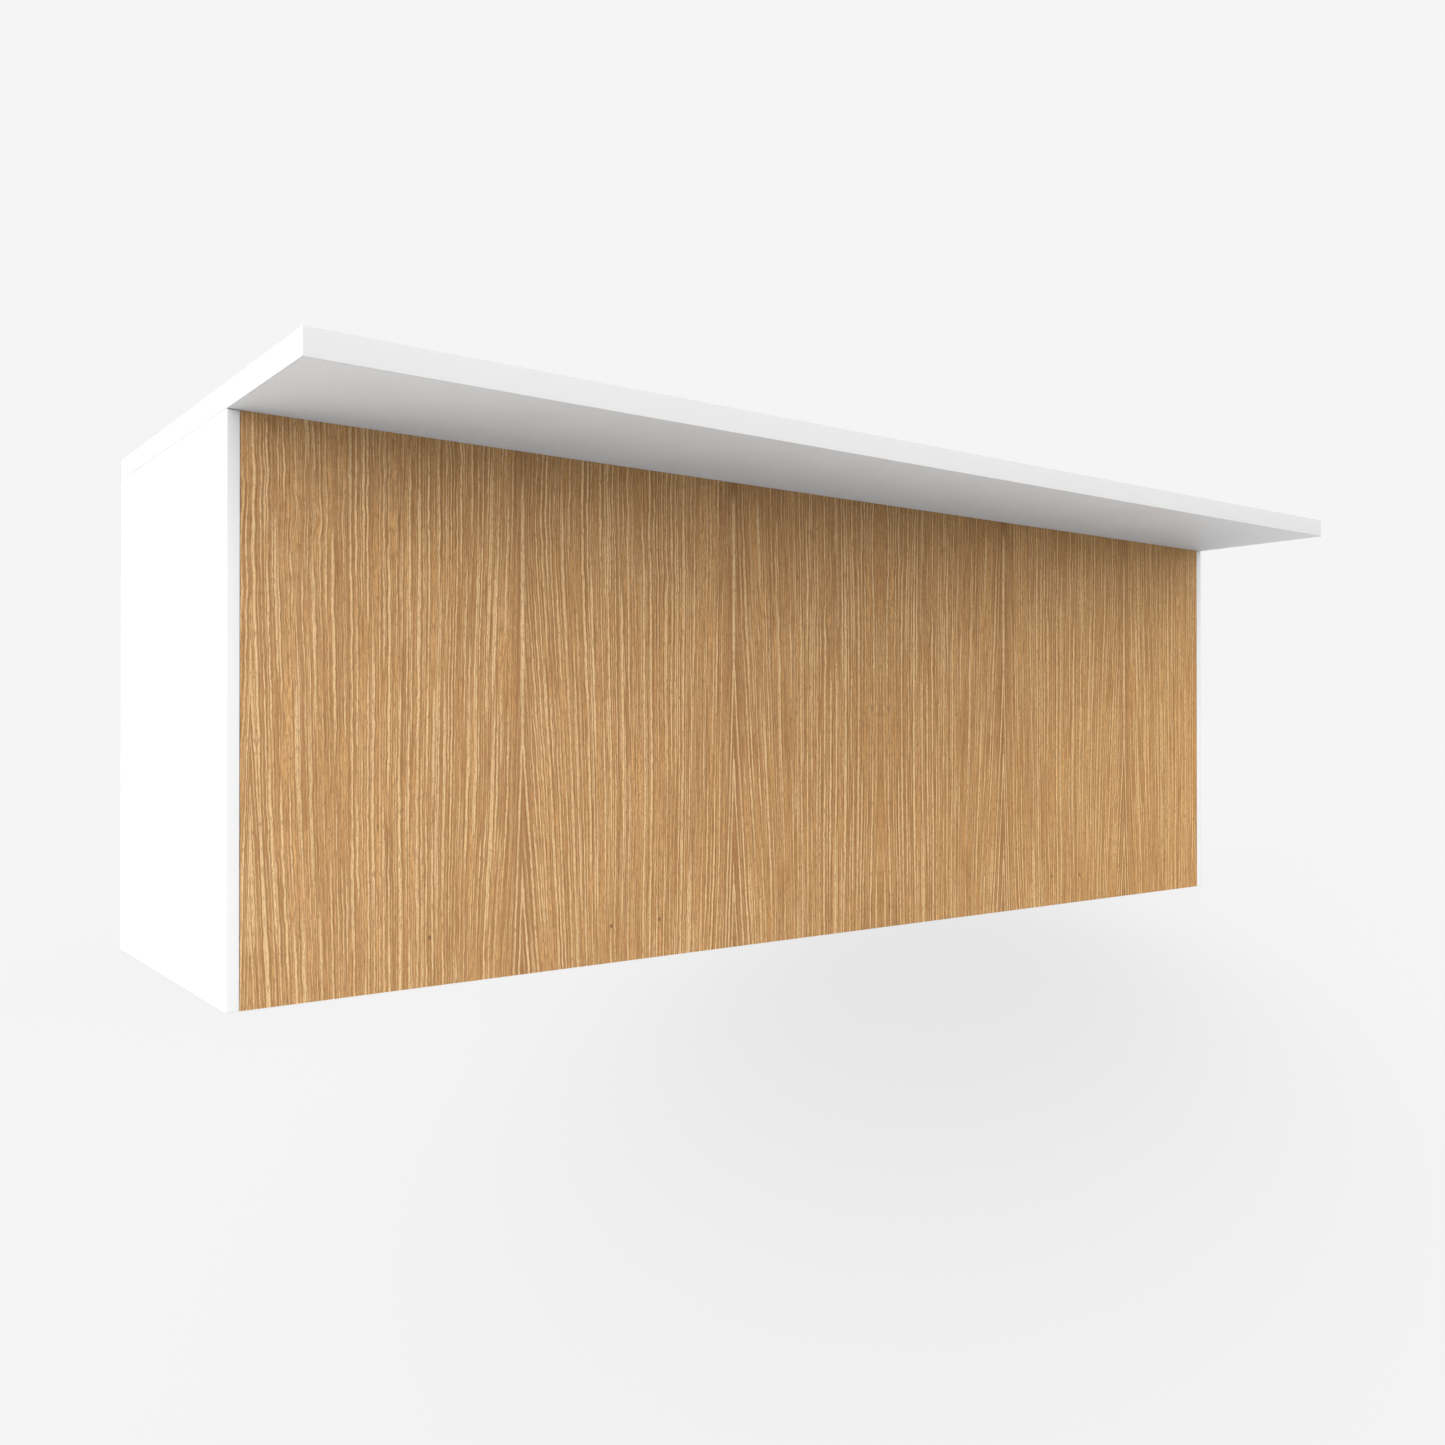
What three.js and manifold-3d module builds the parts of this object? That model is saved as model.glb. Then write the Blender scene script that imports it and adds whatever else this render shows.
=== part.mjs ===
// A two-place study carrel: a long panel-end desk. A thick white top rests on two white side panels,
// an oak-veneered panel closes the front between them, and a short support panel stands in the middle,
// so that two readers sit side by side at the open back. The top overhangs the oak panel towards visitors.
//
// Units are millimetres, +Z is up, +X runs along the carrel and -Y is the visitors' side.
// The origin is on the floor, under the middle of the top.
import * as THREE from "three";
import { mergeVertices } from "three/addons/utils/BufferGeometryUtils.js";
import Module from "manifold-3d";

const wasm = await Module();
wasm.setup();

// ---- Driving dimensions ----
const WIDTH = 2032;
const DEPTH = 830;
const TOP_THICKNESS = 32;
const BOARD = 16; // thickness of every upright board
const PANEL_HEIGHT = 720;
const FLOOR_GAP = 2; // the uprights stand this far off the floor, on their levelling feet
const FRONT_OVERHANG = 265; // from the top's front edge to the oak panel
const REAR_OVERHANG = 8; // from the side panels' back edges to the top's back edge
const CENTRE_SUPPORT_DEPTH = 384;

const EDGING = 2; // thickness of the glued edge bands
const GLUE_LINE = 0.1; // between a band and its board
const JOINT_GAP = 0.2; // between two boards, or a board and what is screwed to it

// ---- Derived places ----
const UNDERSIDE = FLOOR_GAP + PANEL_HEIGHT; // height of the top's lower face
const HEIGHT = UNDERSIDE + TOP_THICKNESS;
const PANEL_TOP = UNDERSIDE - JOINT_GAP;
const FRONT = -DEPTH / 2; // the top's front edge
const BACK = DEPTH / 2;
const PANEL_FRONT = FRONT + FRONT_OVERHANG; // outer face of the oak panel and the sides' front edges
const PANEL_BACK = PANEL_FRONT + BOARD; // the oak panel's inner face
const SIDE_BACK = BACK - REAR_OVERHANG;
const END = WIDTH / 2; // outer face of a side panel
const INNER = END - BOARD; // inner face of a side panel
const SUPPORT_FACE = BOARD / 2; // the centre support's faces, either side of x = 0
const SUPPORT_BACK = PANEL_BACK + CENTRE_SUPPORT_DEPTH;

// ---- Fittings ----
const SEGMENTS = 24; // sides of a round piece
const HIDDEN_SEGMENTS = 12; // sides of a round piece or bore inside a board
const BREAK_THROUGH = 1; // how far a cutting tool stands out of the face it enters
const SCREW_HOLE = 2.3; // radius
// A cam's backset is from its axis to the edge of its board, and its cross is the screwdriver's recess.
const CAM = { radius: 7.4, depth: 12.5, backset: 34, recess: 0.3, play: 0.2 };
const CROSS = { arm: 3.2, halfBlade: 0.8, depth: 2.2 };
const ARROW = { radius: 1.1, depth: 0.6, fromAxis: 5.6 }; // moulded in the cam's face, towards its slot
// A bolt's lengths are from the cam's axis, apart from its thread's, which is what stands in the other board.
const BOLT = { head: 3.2, halfHead: 2.4, neck: 2, neckEnd: 9, shoulder: 2, shank: 3.5 };
const THREAD = { radius: 3, length: 10.5, taper: 1.5 };
const BOLT_PLAY = 0.3;
const DOWEL = { radius: 4, length: 35, inTop: 13, chamfer: 1, play: 0.2 };
const RAIL = { depth: 40, height: 20, wall: 1.5, fromBack: 45, screws: 5, access: 5 };
const RAIL_BRACKET = { plate: 3, width: 70, height: 50, spigot: 40, play: 0.4, screwInset: 12 };
// The levelling feet's brackets: heights are from the floor, and centre is from the board to the foot's axis.
const BRACKET = { reach: 36, width: 40, top: 62, sheet: 2.5, centre: 20, shelf: 9.3, bend: 4 };
const BRACKET_NUT = { radius: 7.5, height: 6.5, bore: 4.3 };
const BRACKET_SCREWS = [
  { across: -10, height: 34 },
  { across: 10, height: 50 },
];
const FOOT = { pad: 14, rim: 2.5, shoulder: 11, padHeight: 5, hex: 6.5, hexTop: 9, stem: 3.9, top: 46 };
const FOOT_SLOT = { halfWidth: 0.6, depth: 3 };

// ---- Materials ----
function finish(color, roughness, metalness = 0) {
  return new THREE.MeshStandardMaterial({ color, roughness, metalness });
}
const WHITE_MELAMINE = finish(0xf6f6f5, 0.55);
const WHITE_EDGING = finish(0xf4f4f3, 0.5);
const OAK_VENEER = finish(0xc79f6b, 0.6);
const ZINC = finish(0xb9bbbd, 0.4, 1);
const BRIGHT_STEEL = finish(0xc9cbce, 0.3, 1);
const BEECH = finish(0xd9b98a, 0.7);
const COATED_STEEL = finish(0xd4d6d8, 0.5, 0.3);

const X = new THREE.Vector3(1, 0, 0);
const Y = new THREE.Vector3(0, 1, 0);
const Z = new THREE.Vector3(0, 0, 1);
const vec = (x, y, z) => new THREE.Vector3(x, y, z);
const shift = (point, direction, distance) => point.clone().addScaledVector(direction, distance);

// ---- Solids: three.js geometry in, manifold-3d for joins and cuts, three.js geometry out ----
function toSolid(geometry) {
  const bare = geometry.clone();
  bare.deleteAttribute("normal");
  bare.deleteAttribute("uv");
  const merged = mergeVertices(bare, 1e-4);
  const mesh = { numProp: 3, vertProperties: merged.attributes.position.array };
  return new wasm.Manifold(new wasm.Mesh({ ...mesh, triVerts: new Uint32Array(merged.index.array) }));
}

function toGeometry(solid) {
  const mesh = solid.getMesh();
  const geometry = new THREE.BufferGeometry();
  geometry.setAttribute("position", new THREE.BufferAttribute(mesh.vertProperties, 3));
  geometry.setIndex(new THREE.BufferAttribute(mesh.triVerts, 1));
  geometry.computeVertexNormals();
  return geometry;
}

function cut(geometry, tools) {
  const solid = tools.reduce((rest, tool) => rest.subtract(toSolid(tool)), toSolid(geometry));
  return toGeometry(solid);
}

function join(...geometries) {
  const [first, ...others] = geometries.map(toSolid);
  return toGeometry(others.reduce((sum, solid) => sum.add(solid), first));
}

function boxBetween(low, high) {
  const size = high.clone().sub(low);
  const centre = low.clone().add(high).multiplyScalar(0.5);
  return new THREE.BoxGeometry(size.x, size.y, size.z).translate(centre.x, centre.y, centre.z);
}

// A round tool that enters a face at mouth and runs along the unit vector into, for depth.
function drill({ mouth, into, radius, depth, segments = SEGMENTS }) {
  const length = depth + BREAK_THROUGH;
  const tool = new THREE.CylinderGeometry(radius, radius, length, segments);
  tool.translate(0, length / 2 - BREAK_THROUGH, 0);
  tool.applyQuaternion(new THREE.Quaternion().setFromUnitVectors(Y, into));
  return tool.translate(mouth.x, mouth.y, mouth.z);
}

function prism(radius, low, high, sides = SEGMENTS) {
  const geometry = new THREE.CylinderGeometry(radius, radius, high - low, sides);
  return geometry.rotateX(Math.PI / 2).translate(0, 0, (low + high) / 2);
}

function named(name, geometry, material) {
  const mesh = new THREE.Mesh(geometry, material);
  mesh.name = name;
  return mesh;
}

// A board between two corners, with its bores, placed by its own centre.
function board(name, material, low, high, bores = []) {
  const centre = low.clone().add(high).multiplyScalar(0.5);
  const blank = boxBetween(low.clone().sub(centre), high.clone().sub(centre));
  const tools = bores.map((bore) => drill({ ...bore, mouth: bore.mouth.clone().sub(centre) }));
  const mesh = named(name, cut(blank, tools), material);
  mesh.position.copy(centre);
  return mesh;
}

// ---- Cam fittings: a cam in one board pulls on a bolt that is screwed into the board it meets ----
// mouth is where the cam's axis meets the cam board's face, outward is that face's normal,
// and along points from the cam to the mating board.
function camFitting(name, mouth, outward, along) {
  const bolted = shift(shift(mouth, outward, -BOARD / 2), along, CAM.backset);
  return { name, mouth, outward, along, bolted };
}

function boresInCamBoard({ mouth, outward, along, bolted }) {
  const into = outward.clone().negate();
  const pocket = { mouth, into, radius: CAM.radius + CAM.play, depth: CAM.depth + CAM.play };
  const radius = BOLT.shank + BOLT_PLAY;
  const depth = CAM.backset - CAM.radius / 2;
  const passage = { mouth: bolted, into: along.clone().negate(), radius, depth };
  return [pocket, { ...passage, segments: HIDDEN_SEGMENTS }];
}

function boreInMatingBoard({ along, bolted }) {
  const radius = THREAD.radius + BOLT_PLAY;
  const depth = THREAD.length + 1;
  return { mouth: bolted, into: along, radius, depth, segments: HIDDEN_SEGMENTS };
}

// The cam lies along local -Z from the face, and its slot opens towards local +Y.
function camGeometry() {
  const body = prism(CAM.radius, -CAM.depth, -CAM.recess);
  const boltAxis = -BOARD / 2;
  const neck = BOLT.neck + BOLT_PLAY;
  const head = BOLT.head + BOLT_PLAY;
  const reach = CAM.radius + BREAK_THROUGH;
  const slot = boxBetween(vec(-neck, 0, boltAxis - neck), vec(neck, reach, boltAxis + neck));
  const chamber = boxBetween(vec(-head, -head, boltAxis - head), vec(head, head, boltAxis + head));
  const blade = (x, y) => boxBetween(vec(-x, -y, -CAM.recess - CROSS.depth), vec(x, y, BREAK_THROUGH));
  const arrow = prism(ARROW.radius, -CAM.recess - ARROW.depth, BREAK_THROUGH, 3);
  arrow.translate(0, ARROW.fromAxis, 0);
  const cross = [blade(CROSS.arm, CROSS.halfBlade), blade(CROSS.halfBlade, CROSS.arm)];
  return cut(body, [slot, chamber, ...cross, arrow]);
}

function turned(outline, segments) {
  const points = outline.map(([radius, y]) => new THREE.Vector2(radius, y));
  return new THREE.LatheGeometry(points, segments);
}

// The bolt stands on local Y, with its head in the cam and its thread beyond the mating face.
function boltGeometry() {
  const { head, halfHead, neck, neckEnd, shoulder, shank } = BOLT;
  const face = CAM.backset;
  const tip = face + THREAD.length;
  const outline = [
    [0, -halfHead],
    [head, 0],
    [neck, halfHead],
    [neck, neckEnd],
    [shank, neckEnd + shoulder],
    [shank, face - JOINT_GAP],
    [THREAD.radius, face],
    [THREAD.radius, tip - THREAD.taper],
    [0, tip],
  ];
  return turned(outline, HIDDEN_SEGMENTS).translate(0, 0, -BOARD / 2);
}

function camGroup({ name, mouth, outward, along }) {
  const group = new THREE.Group();
  const sideways = along.clone().cross(outward);
  group.quaternion.setFromRotationMatrix(new THREE.Matrix4().makeBasis(sideways, along, outward));
  group.position.copy(mouth);
  group.add(named(`${name}_cam`, camGeometry(), ZINC));
  group.add(named(`${name}_bolt`, boltGeometry(), BRIGHT_STEEL));
  return group;
}

// ---- Dowels: each stands half in a side panel's top edge and half in the top ----
function dowelBores({ foot }) {
  const radius = DOWEL.radius + DOWEL.play;
  const common = { mouth: foot, radius, segments: HIDDEN_SEGMENTS };
  const inSide = { ...common, into: Z.clone().negate(), depth: DOWEL.length - DOWEL.inTop + 1 };
  const inTop = { ...common, into: Z, depth: DOWEL.inTop + 1 };
  return { inSide, inTop };
}

function dowelMesh({ name, foot }) {
  const [r, half, c] = [DOWEL.radius, DOWEL.length / 2, DOWEL.chamfer];
  const outline = [[0, -half], [r - c, -half], [r, c - half], [r, half - c], [r - c, half], [0, half]];
  const mesh = named(name, turned(outline, HIDDEN_SEGMENTS), BEECH);
  mesh.rotation.x = Math.PI / 2;
  mesh.position.copy(shift(foot, Z, DOWEL.inTop - half));
  return mesh;
}

// ---- Where the fittings go, on a 32 mm grid from each board's edges ----
const GRID = 32;
const CAM_HEIGHT = UNDERSIDE - CAM.backset;
const UPRIGHT_CAM_HEIGHTS = { lower: FLOOR_GAP + 4 * GRID, upper: FLOOR_GAP + 18 * GRID };
const SIDE_CAM_PLACES = { front: PANEL_BACK + 2 * GRID, back: PANEL_BACK + 12 * GRID };
const SIDES = { left: -1, right: 1 };

const sideToTop = {};
const frontToSide = {};
const dowels = {};
for (const [side, sign] of Object.entries(SIDES)) {
  const inward = vec(-sign, 0, 0);
  const outwards = vec(sign, 0, 0);
  sideToTop[side] = Object.entries(SIDE_CAM_PLACES).map(([place, y]) =>
    camFitting(`${side}_side_${place}`, vec(sign * INNER, y, CAM_HEIGHT), inward, Z),
  );
  frontToSide[side] = Object.entries(UPRIGHT_CAM_HEIGHTS).map(([place, z]) =>
    camFitting(`oak_panel_${side}_${place}`, vec(sign * (INNER - CAM.backset), PANEL_BACK, z), Y, outwards),
  );
  dowels[side] = Object.entries(SIDE_CAM_PLACES).map(([place, y]) => ({
    name: `${side}_${place}_dowel`,
    foot: vec(sign * (END - BOARD / 2), y + GRID, UNDERSIDE),
  }));
}
const frontToTop = Object.entries(SIDES).map(([side, sign]) =>
  camFitting(`oak_panel_top_${side}`, vec((sign * INNER) / 2, PANEL_BACK, CAM_HEIGHT), Y, Z),
);
const supportToTop = [2, 9].map((steps, i) =>
  camFitting(
    `centre_support_top_${["front", "back"][i]}`,
    vec(-SUPPORT_FACE, PANEL_BACK + steps * GRID, CAM_HEIGHT),
    X.clone().negate(),
    Z,
  ),
);
const supportToFront = Object.entries(UPRIGHT_CAM_HEIGHTS).map(([place, z]) =>
  camFitting(
    `centre_support_${place}`,
    vec(-SUPPORT_FACE, PANEL_BACK + CAM.backset, z),
    X.clone().negate(),
    Y.clone().negate(),
  ),
);
const fittings = [
  ...sideToTop.left,
  ...sideToTop.right,
  ...frontToSide.left,
  ...frontToSide.right,
  ...frontToTop,
  ...supportToTop,
  ...supportToFront,
];
const allDowels = [...dowels.left, ...dowels.right];

// ---- Boards and their edge bands ----
function buildTop() {
  const group = new THREE.Group();
  const [x, y, inset] = [END, BACK, EDGING + GLUE_LINE];
  const bores = [
    ...[...sideToTop.left, ...sideToTop.right, ...frontToTop, ...supportToTop].map(boreInMatingBoard),
    ...allDowels.map((dowel) => dowelBores(dowel).inTop),
  ];
  const low = vec(inset - x, inset - y, UNDERSIDE);
  group.add(board("top_panel", WHITE_MELAMINE, low, vec(x - inset, y - inset, HEIGHT), bores));
  const band = (name, x0, y0, x1, y1) =>
    group.add(board(name, WHITE_EDGING, vec(x0, y0, UNDERSIDE), vec(x1, y1, HEIGHT)));
  band("top_edging_front", -x, -y, x, EDGING - y);
  band("top_edging_back", -x, y - EDGING, x, y);
  band("top_edging_left", -x, inset - y, EDGING - x, y - inset);
  band("top_edging_right", x - EDGING, inset - y, x, y - inset);
  return group;
}

function buildSide(side) {
  const group = new THREE.Group();
  const [x0, x1] = [SIDES[side] * END, SIDES[side] * INNER].sort((a, b) => a - b);
  const inset = EDGING + GLUE_LINE;
  const bores = [
    ...sideToTop[side].flatMap(boresInCamBoard),
    ...frontToSide[side].map(boreInMatingBoard),
    ...dowels[side].map((dowel) => dowelBores(dowel).inSide),
  ];
  const piece = (name, material, y0, y1, drilled) =>
    group.add(board(name, material, vec(x0, y0, FLOOR_GAP), vec(x1, y1, PANEL_TOP), drilled));
  piece(`${side}_side_panel`, WHITE_MELAMINE, PANEL_FRONT + inset, SIDE_BACK - inset, bores);
  piece(`${side}_side_edging_front`, WHITE_EDGING, PANEL_FRONT, PANEL_FRONT + EDGING);
  piece(`${side}_side_edging_back`, WHITE_EDGING, SIDE_BACK - EDGING, SIDE_BACK);
  return group;
}

function buildOakPanel() {
  const bores = [
    ...[...frontToSide.left, ...frontToSide.right, ...frontToTop].flatMap(boresInCamBoard),
    ...supportToFront.map(boreInMatingBoard),
  ];
  const x = INNER - JOINT_GAP;
  const low = vec(-x, PANEL_FRONT, FLOOR_GAP);
  return board("oak_panel", OAK_VENEER, low, vec(x, PANEL_BACK, PANEL_TOP), bores);
}

function buildCentreSupport() {
  const group = new THREE.Group();
  const bores = [...supportToTop, ...supportToFront].flatMap(boresInCamBoard);
  const front = PANEL_BACK + JOINT_GAP;
  const glued = SUPPORT_BACK - EDGING;
  const x = SUPPORT_FACE;
  const piece = (name, material, y0, y1, drilled) =>
    group.add(board(name, material, vec(-x, y0, FLOOR_GAP), vec(x, y1, PANEL_TOP), drilled));
  piece("centre_support_panel", WHITE_MELAMINE, front, glued - GLUE_LINE, bores);
  piece("centre_support_edging", WHITE_EDGING, glued, SUPPORT_BACK);
  return group;
}

// ---- Stiffening rail: a steel tube under the readers' edge of the top, held by a bracket at each end ----
const RAIL_TOP = UNDERSIDE - JOINT_GAP;
const RAIL_BACK = SIDE_BACK - RAIL.fromBack;
const RAIL_END = INNER - JOINT_GAP - RAIL_BRACKET.plate - 1;
const RAIL_CENTRE = vec(0, RAIL_BACK - RAIL.depth / 2, RAIL_TOP - RAIL.height / 2);

function rectangle(width, height) {
  const shape = new THREE.Shape();
  shape.moveTo(-width / 2, -height / 2);
  shape.lineTo(width / 2, -height / 2);
  shape.lineTo(width / 2, height / 2);
  shape.lineTo(-width / 2, height / 2);
  shape.closePath();
  return shape;
}

function buildRail() {
  const section = rectangle(RAIL.depth, RAIL.height);
  section.holes.push(rectangle(RAIL.depth - 2 * RAIL.wall, RAIL.height - 2 * RAIL.wall));
  const tube = new THREE.ExtrudeGeometry(section, { depth: 2 * RAIL_END, bevelEnabled: false });
  tube.translate(0, 0, -RAIL_END).rotateX(Math.PI / 2).rotateZ(Math.PI / 2);
  const tools = [];
  const floor = -RAIL.height / 2;
  const outermost = RAIL_END - 4 * GRID;
  for (let i = 0; i < RAIL.screws; i++) {
    const x = outermost * ((2 * i) / (RAIL.screws - 1) - 1);
    const common = { mouth: vec(x, 0, floor), into: Z, segments: HIDDEN_SEGMENTS };
    tools.push(drill({ ...common, radius: SCREW_HOLE, depth: RAIL.height + BREAK_THROUGH }));
    tools.push(drill({ ...common, radius: RAIL.access, depth: 2 * RAIL.wall }));
  }
  const mesh = named("stiffening_rail", cut(tube, tools), COATED_STEEL);
  mesh.position.copy(RAIL_CENTRE);
  return mesh;
}

// The bracket's plate lies on the side panel and its spigot points along local +X, into the tube.
function buildRailBracket(side) {
  const { plate, width, height, spigot, play, screwInset } = RAIL_BRACKET;
  const halfRail = RAIL.height / 2;
  const back = boxBetween(vec(0, -width / 2, halfRail - height), vec(plate, width / 2, halfRail));
  const [y, z] = [RAIL.depth / 2 - RAIL.wall - play, halfRail - RAIL.wall - play];
  const plug = boxBetween(vec(plate / 2, -y, -z), vec(plate + spigot, y, z));
  const screwPlaces = [-1, 1].map((sign) =>
    vec(0, sign * (width / 2 - screwInset), halfRail - height + screwInset),
  );
  const tools = screwPlaces.map((mouth) =>
    drill({ mouth, into: X, radius: SCREW_HOLE, depth: plate + 1, segments: HIDDEN_SEGMENTS }),
  );
  const mesh = named(`rail_bracket_${side}`, cut(join(back, plug), tools), COATED_STEEL);
  const sign = SIDES[side];
  mesh.position.copy(vec(sign * (INNER - JOINT_GAP), RAIL_CENTRE.y, RAIL_CENTRE.z));
  mesh.rotation.z = sign < 0 ? 0 : Math.PI;
  return mesh;
}

// ---- Levelling feet: a screwed foot in an angle bracket on an upright's inner face ----
// Local X points away from the upright, and local Z = 0 is the floor.
function bracketGeometry() {
  const { reach, width, top, sheet, centre, shelf, bend } = BRACKET;
  const [back, front] = [JOINT_GAP, JOINT_GAP + sheet];
  const inner = bend - sheet;
  const shelfTop = shelf + sheet;
  const profile = new THREE.Shape();
  profile.moveTo(back, top);
  profile.absarc(back + bend, shelf + bend, bend, Math.PI, 1.5 * Math.PI, false);
  profile.lineTo(reach, shelf);
  profile.lineTo(reach, shelfTop);
  profile.absarc(front + inner, shelfTop + inner, inner, 1.5 * Math.PI, Math.PI, true);
  profile.lineTo(front, top);
  profile.closePath();
  const angle = new THREE.ExtrudeGeometry(profile, { depth: width, bevelEnabled: false, curveSegments: 5 });
  angle.translate(0, 0, -width / 2).rotateX(Math.PI / 2);
  const nutTop = shelfTop + BRACKET_NUT.height;
  const nut = prism(BRACKET_NUT.radius, shelf + sheet / 2, nutTop, 6).translate(centre, 0, 0);
  const thread = prism(BRACKET_NUT.bore, 0, nutTop + BREAK_THROUGH).translate(centre, 0, 0);
  const screwHoles = BRACKET_SCREWS.map(({ across, height }) => {
    const hole = { mouth: vec(0, across, height), into: X, radius: SCREW_HOLE, depth: 2 * sheet };
    return drill({ ...hole, segments: HIDDEN_SEGMENTS });
  });
  return cut(join(angle, nut), [thread, ...screwHoles]);
}

function footGeometry() {
  const { pad, rim, shoulder, padHeight, stem, hex, hexTop, top } = FOOT;
  const chamfer = 1;
  const outline = [
    [0, 0],
    [pad - chamfer, 0],
    [pad, chamfer],
    [pad, rim],
    [shoulder, padHeight],
    [stem, padHeight],
    [stem, top - chamfer],
    [stem - chamfer, top],
    [0, top],
  ];
  const body = turned(outline, SEGMENTS).rotateX(Math.PI / 2);
  const nut = prism(hex, rim, hexTop, 6);
  const { halfWidth, depth } = FOOT_SLOT;
  const reach = stem + BREAK_THROUGH;
  const slot = boxBetween(vec(-reach, -halfWidth, top - depth), vec(reach, halfWidth, top + BREAK_THROUGH));
  return cut(join(body, nut), [slot]);
}

function buildLeveller(place, x, y, facing) {
  const group = new THREE.Group();
  group.position.set(x, y, 0);
  group.rotation.z = facing > 0 ? 0 : Math.PI;
  group.add(named(`leveller_bracket_${place}`, bracketGeometry(), BRIGHT_STEEL));
  const foot = named(`levelling_foot_${place}`, footGeometry(), BRIGHT_STEEL);
  foot.position.x = BRACKET.centre;
  group.add(foot);
  return group;
}

function buildLevellers() {
  const group = new THREE.Group();
  const places = { front: PANEL_BACK + 2 * GRID, back: SIDE_BACK - 2 * GRID };
  for (const [side, sign] of Object.entries(SIDES)) {
    for (const [place, y] of Object.entries(places)) {
      group.add(buildLeveller(`${side}_${place}`, sign * INNER, y, -sign));
    }
  }
  group.add(buildLeveller("centre", -SUPPORT_FACE, SUPPORT_BACK - 2 * GRID, -1));
  return group;
}

const carrel = new THREE.Group();
carrel.add(buildTop(), buildSide("left"), buildSide("right"), buildOakPanel(), buildCentreSupport());
carrel.add(...fittings.map(camGroup), ...allDowels.map(dowelMesh));
carrel.add(buildRail(), buildRailBracket("left"), buildRailBracket("right"), buildLevellers());

export default carrel;
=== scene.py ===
"""Looks for the study carrel: a white panel-end desk with an upright-grained oak front.

Everything is in metres, in the row frame: +X along the carrel, -Y the visitors' side, +Z up from the floor.
"""

import math

import bmesh
import bpy
from mathutils import Matrix, Vector


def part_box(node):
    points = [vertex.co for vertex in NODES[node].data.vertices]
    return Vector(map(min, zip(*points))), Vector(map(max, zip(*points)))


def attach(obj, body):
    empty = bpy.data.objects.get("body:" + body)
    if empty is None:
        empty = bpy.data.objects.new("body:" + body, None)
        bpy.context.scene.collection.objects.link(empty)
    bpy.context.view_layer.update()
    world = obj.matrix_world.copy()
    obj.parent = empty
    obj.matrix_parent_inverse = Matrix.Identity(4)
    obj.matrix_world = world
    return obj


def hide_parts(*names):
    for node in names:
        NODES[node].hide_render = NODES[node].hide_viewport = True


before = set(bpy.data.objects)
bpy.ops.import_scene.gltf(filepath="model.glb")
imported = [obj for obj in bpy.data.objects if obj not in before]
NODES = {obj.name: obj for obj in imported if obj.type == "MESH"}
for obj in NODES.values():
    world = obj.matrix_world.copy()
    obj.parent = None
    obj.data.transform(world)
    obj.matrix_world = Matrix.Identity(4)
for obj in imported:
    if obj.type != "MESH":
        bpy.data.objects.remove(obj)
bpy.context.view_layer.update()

MM = 0.001
X, Y, Z = Vector((1, 0, 0)), Vector((0, 1, 0)), Vector((0, 0, 1))
ROOT_BODY = "carrel"

# ---- Driving sizes, in millimetres: those of the CAD solids' details, and of the finer ones made here ----
BAND_RADIUS = 1.2  # the rounded arris of the glued edge bands
CAM = {"radius": 7.4, "depth": 12.2, "rim": 0.45, "dish_radius": 4.5, "dish": 0.3, "bolt_axis": 7.7}
CAM_CROSS = {"arm": 3.2, "half_blade": 0.8, "depth": 2.2}
CAM_ARROW = {"radius": 1.1, "from_axis": 5.6, "depth": 0.6}
CAM_SLOT = {"half_width": 2.3, "chamber": 3.5}  # for the bolt's neck, and for its head
FOOT_PAD = {"radius": 14, "rim": 2.5, "shoulder": 11, "height": 5, "rounding": 0.9}
FOOT_HEX = {"corner": 6.5, "top": 9, "chamfer": 0.55, "chamfer_steps": 4}
FOOT_STEM = {"radius": 3.9, "top": 46}
FOOT_SLOT = {"half_width": 0.6, "depth": 3}
THREAD = {"pitch": 1.25, "depth": 0.68, "runout": 1.5, "steps": 6}
SCREW = {"head": 4.1, "chamfer": 0.25, "rim": 0.7, "dome": 1.7, "dome_steps": 10}
SCREW_SHANK = {"radius": 2.0, "length": 2.4}
SCREW_CROSS = {"arm": 2.1, "half_blade": 0.45, "depth": 1.7}
CROSS_TAPER = 0.55  # the bottom of a cross recess, as a share of its mouth
SHEET_ARRIS = 0.35  # the softened edges of the bent sheet and of the rail
BRACKET_SHEET = 2.5
BRACKET_SCREWS = ((-10, 34), (10, 50))  # across the bracket, and above the floor
RAIL = {"wall": 1.5, "screws": 5, "first_screw": 128, "bracket_plate": 3, "bracket_screw_inset": 12}
ROUND_SIDES, SCREW_SIDES = 48, 32
CREASE = 32  # degrees: sharper edges stay crisp
ON_AXIS = 0.01  # the radius that closes a turned body at its axis
FLOOR_RADIUS = 2000  # metres, so that the floor meets the surround at the horizon


# ---- Camera: a level view from the visitors' side, past the left end ----
CAMERA_FROM_TOP_CORNER = Vector((-440.3, -1297.0, -381.4)) * MM  # from the top's lower front left corner
CAMERA_LENS, SENSOR_WIDTH = 31.66, 36.0  # millimetres
CAMERA_PITCH, CAMERA_YAW = math.radians(0.26), math.radians(37.08)


def make_camera():
    data = bpy.data.cameras.new("camera")
    data.sensor_width = SENSOR_WIDTH
    data.lens = CAMERA_LENS
    data.clip_end = 2 * FLOOR_RADIUS
    camera = bpy.data.objects.new("camera", data)
    bpy.context.scene.collection.objects.link(camera)
    top_low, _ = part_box("top_edging_front")
    camera.location = top_low + CAMERA_FROM_TOP_CORNER
    camera.rotation_euler = (math.pi / 2 + CAMERA_PITCH, 0, -CAMERA_YAW)
    bpy.context.scene.camera = camera


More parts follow.
